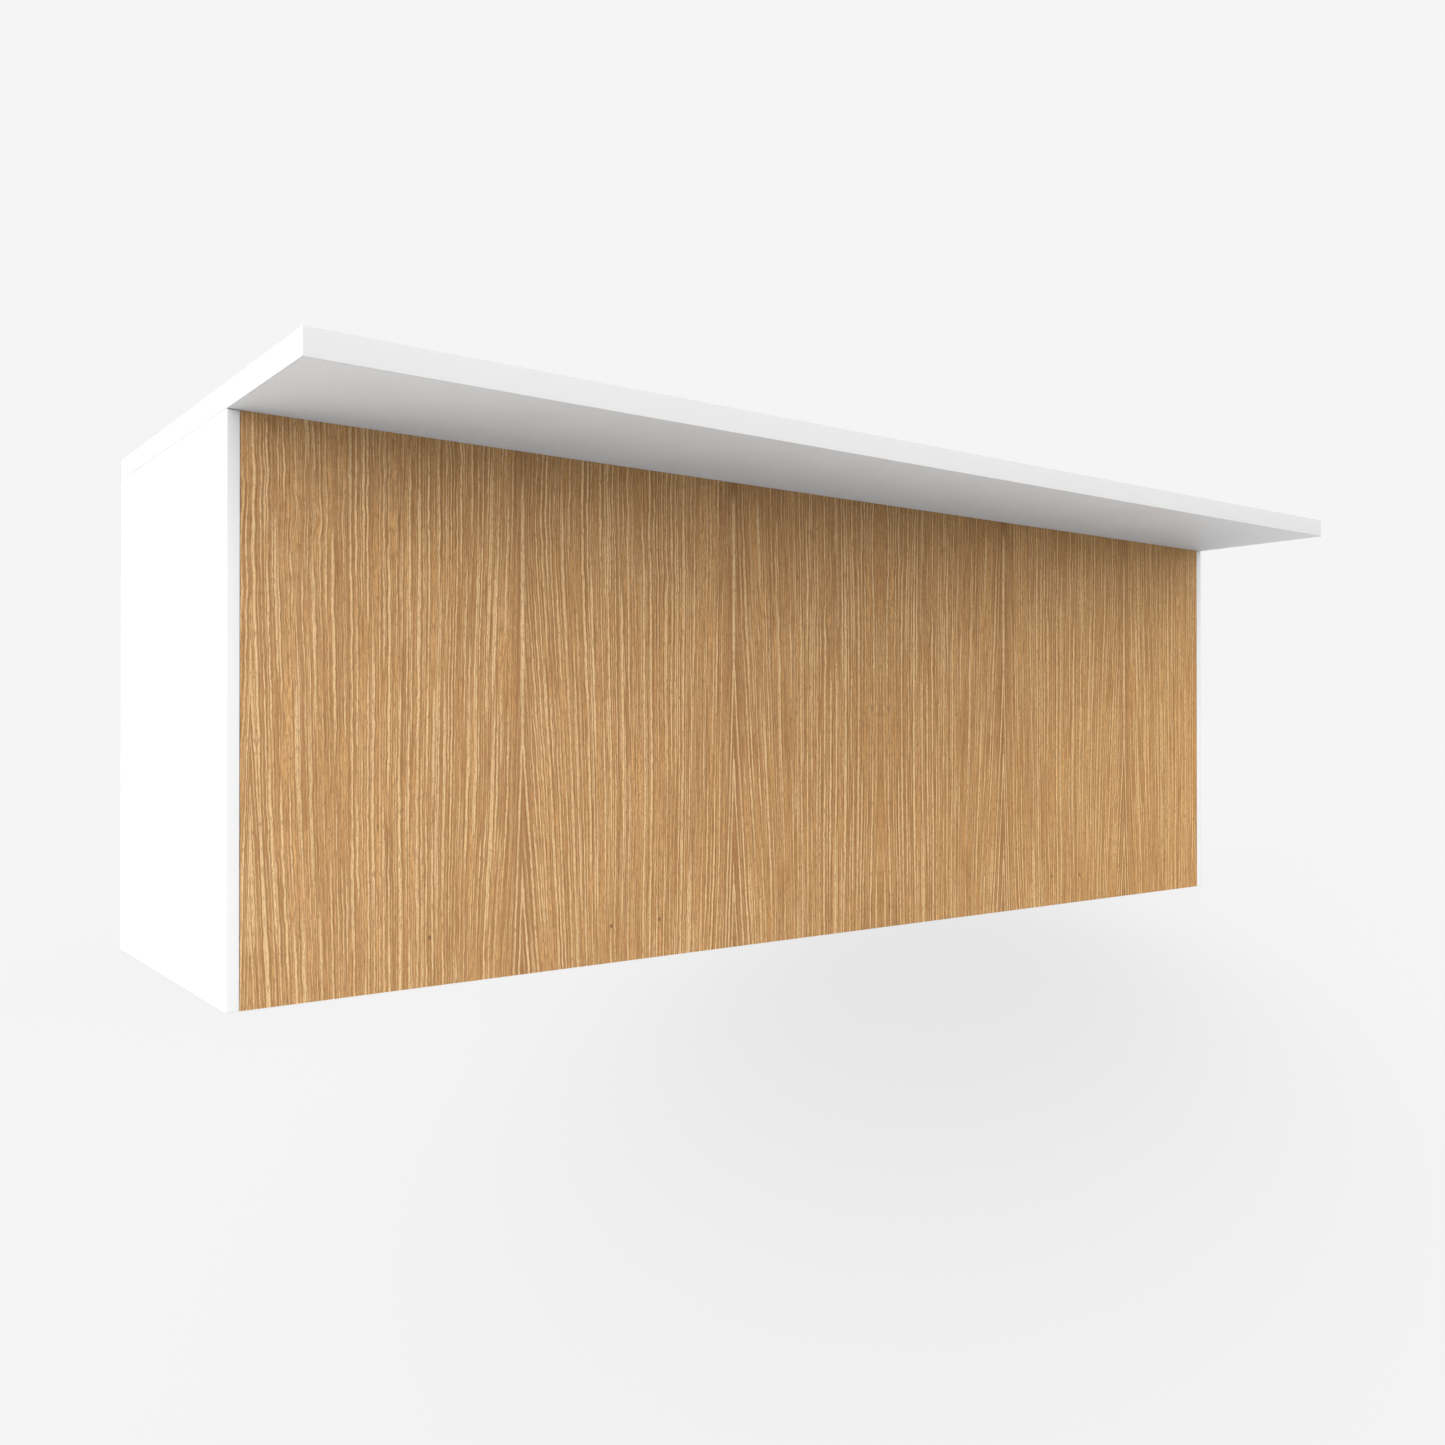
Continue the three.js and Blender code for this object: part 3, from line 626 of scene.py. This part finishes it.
def cam_shape():
    """A cast cam: a dished face with a cross and an arrow, and the slot that the bolt slides into."""
    radius, depth, rim = CAM["radius"], CAM["depth"], CAM["rim"]
    dish_radius, dish = CAM["dish_radius"], CAM["dish"]
    outline = [
        (ON_AXIS, -depth),
        (radius, -depth),
        (radius, 0),
        (dish_radius + dish, 0),
        (dish_radius, -dish),
        (ON_AXIS, -dish),
    ]
    body = ring_body(rounded(outline, rim))
    neck, chamber, axis = CAM_SLOT["half_width"], CAM_SLOT["chamber"], -CAM["bolt_axis"]
    middle, beyond = Vector((0, 0, axis)), Vector((neck, radius + 1, axis + neck))
    reach = Vector((chamber,) * 3)
    slot = box_mesh(Vector((-neck, 0, axis - neck)), beyond)
    hollow = box_mesh(middle - reach, middle + reach)
    tip, spread, sunk = CAM_ARROW["radius"], CAM_ARROW["radius"] * math.sqrt(3) / 2, CAM_ARROW["depth"]
    base = CAM_ARROW["from_axis"] - tip / 2
    arrow = tapered_prism([(-spread, base), (spread, base), (0, base + 1.5 * tip)], 0.5, -sunk)
    cross = cross_cutter(CAM_CROSS["arm"], CAM_CROSS["half_blade"], CAM_CROSS["depth"], -dish)
    return carved(body, [hollow, slot, arrow, cross])


def make_cams():
    shape = cam_shape()
    for node in NODES:
        if not node.endswith("_cam"):
            continue
        if node.startswith("oak_panel_top"):
            outward, along = Y, Z
        elif node.startswith("oak_panel"):
            outward, along = Y, -X if "left" in node else X
        elif node.startswith("centre_support"):
            outward, along = -X, Z if "top" in node else -Y
        else:
            outward, along = X if node.startswith("left") else -X, Z
        place = standing(face_centre(node, outward), outward, along)
        place_piece(f"{node}_casting", shape, place, ZINC, node=node)
    shape.free()


def foot_shape():
    """A turned pad, a chamfered hexagon and a threaded stem with a screwdriver's slot."""
    pad, pad_height = FOOT_PAD["radius"], FOOT_PAD["height"]
    hex_corner, hex_top, chamfer = FOOT_HEX["corner"], FOOT_HEX["top"], FOOT_HEX["chamfer"]
    stem, top = FOOT_STEM["radius"], FOOT_STEM["top"]
    hex_flat = hex_corner * math.cos(math.pi / 6)
    pad_outline = [(ON_AXIS, 0), (pad, 0), (pad, FOOT_PAD["rim"]), (FOOT_PAD["shoulder"], pad_height)]
    pad_outline.append((hex_corner + 0.6, pad_height))
    sections = [tuple(point) for point in rounded(pad_outline, FOOT_PAD["rounding"])]

    def hexagon(reach):
        return lambda angle: min(hex_flat / math.cos(angle % (math.pi / 3) - math.pi / 6), reach)

    sections.append((hexagon(hex_corner), pad_height))
    for step in range(FOOT_HEX["chamfer_steps"] + 1):
        share = step / FOOT_HEX["chamfer_steps"]
        reach = hex_corner + (hex_flat * 0.98 - hex_corner) * share
        sections.append((hexagon(reach), hex_top - chamfer * (1 - share)))
    core = stem - THREAD["depth"]
    thread_start = hex_top + THREAD["runout"]
    sections += [(core, hex_top), (core, thread_start)]
    rows = round((top - thread_start) / THREAD["pitch"] * THREAD["steps"])
    for row in range(1, rows + 1):
        height = thread_start + (top - thread_start) * row / rows
        start = min(1, (height - thread_start) / THREAD["pitch"])
        end = min(1, (top - height) / THREAD["depth"])

        def thread(angle, height=height, share=start * end):
            turn = (height / THREAD["pitch"] - angle / math.tau) % 1
            return core + THREAD["depth"] * share * min(1, 1.25 * (1 - abs(2 * turn - 1)))

        sections.append((thread, height))
    half_width, depth = FOOT_SLOT["half_width"], FOOT_SLOT["depth"]
    slot = box_mesh(Vector((-stem - 1, -half_width, top - depth)), Vector((stem + 1, half_width, top + 1)))
    return carved(ring_body(sections), [slot])


def make_feet():
    shape = foot_shape()
    for node in NODES:
        if node.startswith("levelling_foot"):
            low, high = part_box(node)
            middle = (low + high) / 2
            place = Matrix.Translation((middle.x, middle.y, low.z))
            body = node.replace("levelling_", "")
            place_piece(f"{node}_turned", shape, place, STEEL, body, node)
    shape.free()


def screw_shape():
    """A pan-head screw, seated at its own Z = 0, with a cross recess."""
    head, chamfer, rim, dome = SCREW["head"], SCREW["chamfer"], SCREW["rim"], SCREW["dome"]
    shank, end = SCREW_SHANK["radius"], -SCREW_SHANK["length"]
    sections = [(ON_AXIS, end), (shank, end), (shank, 0), (head - chamfer, 0), (head, chamfer)]
    for step in range(SCREW["dome_steps"]):
        rise = math.pi / 2 * step / SCREW["dome_steps"]
        sections.append((head * math.cos(rise), rim + dome * math.sin(rise)))
    sections.append((ON_AXIS, rim + dome))
    cross = cross_cutter(SCREW_CROSS["arm"], SCREW_CROSS["half_blade"], SCREW_CROSS["depth"], rim + dome)
    return carved(ring_body(sections, SCREW_SIDES), [cross])


def make_screws():
    shape = screw_shape()

    def drive(name, seat, outward, along):
        place_piece(name, shape, standing(seat, outward, along), STEEL)

    for node in NODES:
        low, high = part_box(node)
        middle = (low + high) / 2
        if node.startswith("leveller_bracket"):
            facing = 1 if "left" in node else -1
            seat_x = low.x + BRACKET_SHEET * MM if facing > 0 else high.x - BRACKET_SHEET * MM
            for number, (across, height) in enumerate(BRACKET_SCREWS, 1):
                seat = Vector((seat_x, middle.y + facing * across * MM, height * MM))
                drive(f"{node}_screw_{number}", seat, facing * X, Z)
        elif node.startswith("rail_bracket"):
            facing = 1 if "left" in node else -1
            inset, plate = RAIL["bracket_screw_inset"] * MM, RAIL["bracket_plate"] * MM
            seat_x = low.x + plate if facing > 0 else high.x - plate
            for number, seat_y in enumerate((low.y + inset, high.y - inset), 1):
                drive(f"{node}_screw_{number}", Vector((seat_x, seat_y, low.z + inset)), facing * X, Z)
        elif node == "stiffening_rail":
            count, inset = RAIL["screws"], RAIL["first_screw"] * MM
            for number in range(count):
                along = low.x + inset + (high.x - low.x - 2 * inset) * number / (count - 1)
                seat = Vector((along, middle.y, high.z - RAIL["wall"] * MM))
                drive(f"{node}_screw_{number + 1}", seat, -Z, Y)
    shape.free()


def soften_sheet_metal():
    """Breaks the sharp arrises of the brackets and the rail, as their blanking and coating do."""
    for node, obj in NODES.items():
        if node.startswith(("leveller_bracket", "rail_bracket", "stiffening_rail")):
            obj.modifiers.new("join", "WELD").merge_threshold = 0.001 * MM
            bevel = obj.modifiers.new("arris", "BEVEL")
            bevel.limit_method = "ANGLE"
            bevel.angle_limit = math.radians(40)
            bevel.width = SHEET_ARRIS * MM
            bevel.segments = 2


# ---- Floor, backdrop and lights ----
BACKDROP_LEVEL = 0.913  # a pale studio white
BELOW_LEVEL = 0.42  # what the floor gives back to faces that look down
OVERHEAD_SHARE = 0.5
BELOW_FADE = (-0.08, -0.03)  # heights on the unit sphere, from the dim part to the pale part
OVERHEAD_FADE = (0.56, 0.92)
FLOOR_DROP = 0.3 * MM  # clear of the feet's flat soles
FLOOR_ALBEDO = 0.05
FLOOR_GLOW = 0.868
# A soft oval shade on the floor in front of the desk: centre, half length and half width, direction, depth.
SHADE_CENTRE = (-0.21, -0.55)
SHADE_LENGTH, SHADE_WIDTH = 1.03, 0.38
SHADE_DIRECTION = math.radians(40)
SHADE_DEPTH = 0.128
# Name, direction that the light comes from, irradiance on a face square to it, angle that it fills.
LAMPS = (
    ("key", Vector((-0.93, -0.12, 0.35)), 0.485, 30),
    ("left_wall", Vector((-0.80, -0.50, 0.0)), 0.09, 60),
    ("front_wall", Vector((0.0, -1.0, 0.05)), 0.202, 90),
    ("front_window", Vector((0.0, -0.87, 0.50)), 0.085, 110),
    ("floor_bounce", Vector((0.0, 0.22, -0.97)), 0.201, 40),
    ("left_floor_bounce", Vector((-0.60, 0.0, -0.80)), 0.13, 50),
    ("back_left_bounce", Vector((-0.62, 0.55, -0.56)), 0.13, 60),
    ("back_right_bounce", Vector((0.62, 0.55, -0.56)), 0.066, 60),
)


def make_floor():
    bm = bmesh.new()
    bmesh.ops.create_circle(bm, cap_ends=True, segments=96, radius=FLOOR_RADIUS)
    s = Surface("floor")
    dx = s.math("SUBTRACT", s.x, SHADE_CENTRE[0])
    dy = s.math("SUBTRACT", s.y, SHADE_CENTRE[1])
    cos, sin = math.cos(SHADE_DIRECTION), math.sin(SHADE_DIRECTION)
    along = s.add(s.times(dx, cos / SHADE_LENGTH), s.times(dy, sin / SHADE_LENGTH))
    across = s.add(s.times(dy, cos / SHADE_WIDTH), s.times(dx, -sin / SHADE_WIDTH))
    away = s.math("SQRT", s.add(s.times(along, along), s.times(across, across)))
    shade = s.math("EXPONENT", s.times(s.math("POWER", away, 3.0), -1.0))
    glow = s.remap(shade, 0.0, 1.0, FLOOR_GLOW, FLOOR_GLOW * (1 - SHADE_DEPTH), smooth=False)
    material = s.finish(
        Base_Color=(FLOOR_ALBEDO,) * 3,
        Roughness=0.9,
        Specular_IOR_Level=0.0,
        Emission_Color=(1.0, 1.0, 1.0),
        Emission_Strength=glow,
    )
    bmesh.ops.translate(bm, verts=bm.verts, vec=(0, 0, -FLOOR_DROP))
    floor = as_object("floor", bm, material)
    # The dim lower half of the surround stands for the light that the floor gives back.
    floor.visible_diffuse = False
    floor.visible_glossy = False
    floor.visible_shadow = False


def make_world():
    """A pale surround, dimmer overhead, and below the horizon, where a real floor gives back less light."""
    world = bpy.data.worlds.new("studio")
    bpy.context.scene.world = world
    world.use_nodes = True
    tree = world.node_tree
    background = tree.nodes["Background"]
    background.inputs["Color"].default_value = (1, 1, 1, 1)
    place = tree.nodes.new("ShaderNodeTexCoord")
    axes = tree.nodes.new("ShaderNodeSeparateXYZ")
    tree.links.new(place.outputs["Generated"], axes.inputs[0])

    def level(fade, low_level, high_level):
        ramp = tree.nodes.new("ShaderNodeMapRange")
        ramp.interpolation_type = "SMOOTHSTEP"
        tree.links.new(axes.outputs["Z"], ramp.inputs["Value"])
        for name, value in zip(("From Min", "From Max", "To Min", "To Max"), (*fade, low_level, high_level)):
            ramp.inputs[name].default_value = value
        return ramp.outputs["Result"]

    dimmed = tree.nodes.new("ShaderNodeMath")
    dimmed.operation = "MULTIPLY"
    tree.links.new(level(BELOW_FADE, BELOW_LEVEL, BACKDROP_LEVEL), dimmed.inputs[0])
    tree.links.new(level(OVERHEAD_FADE, 1.0, OVERHEAD_SHARE), dimmed.inputs[1])
    tree.links.new(dimmed.outputs[0], background.inputs["Strength"])


def make_lamp(name, towards, irradiance, angle):
    """A soft distant lamp that shines from the direction towards."""
    data = bpy.data.lights.new(name, "SUN")
    data.energy = math.pi * irradiance
    data.angle = math.radians(angle)
    lamp = bpy.data.objects.new(name, data)
    bpy.context.scene.collection.objects.link(lamp)
    lamp.rotation_euler = towards.to_track_quat("Z", "Y").to_euler()


scene = bpy.context.scene
scene.view_settings.view_transform = "Standard"
scene.cycles.diffuse_bounces = 0
make_camera()
for node_name, node_object in NODES.items():
    paint(node_object, material_of(node_name))
make_edge_bands()
make_cams()
make_feet()
make_screws()
soften_sheet_metal()
make_floor()
make_world()
for lamp_settings in LAMPS:
    make_lamp(*lamp_settings)
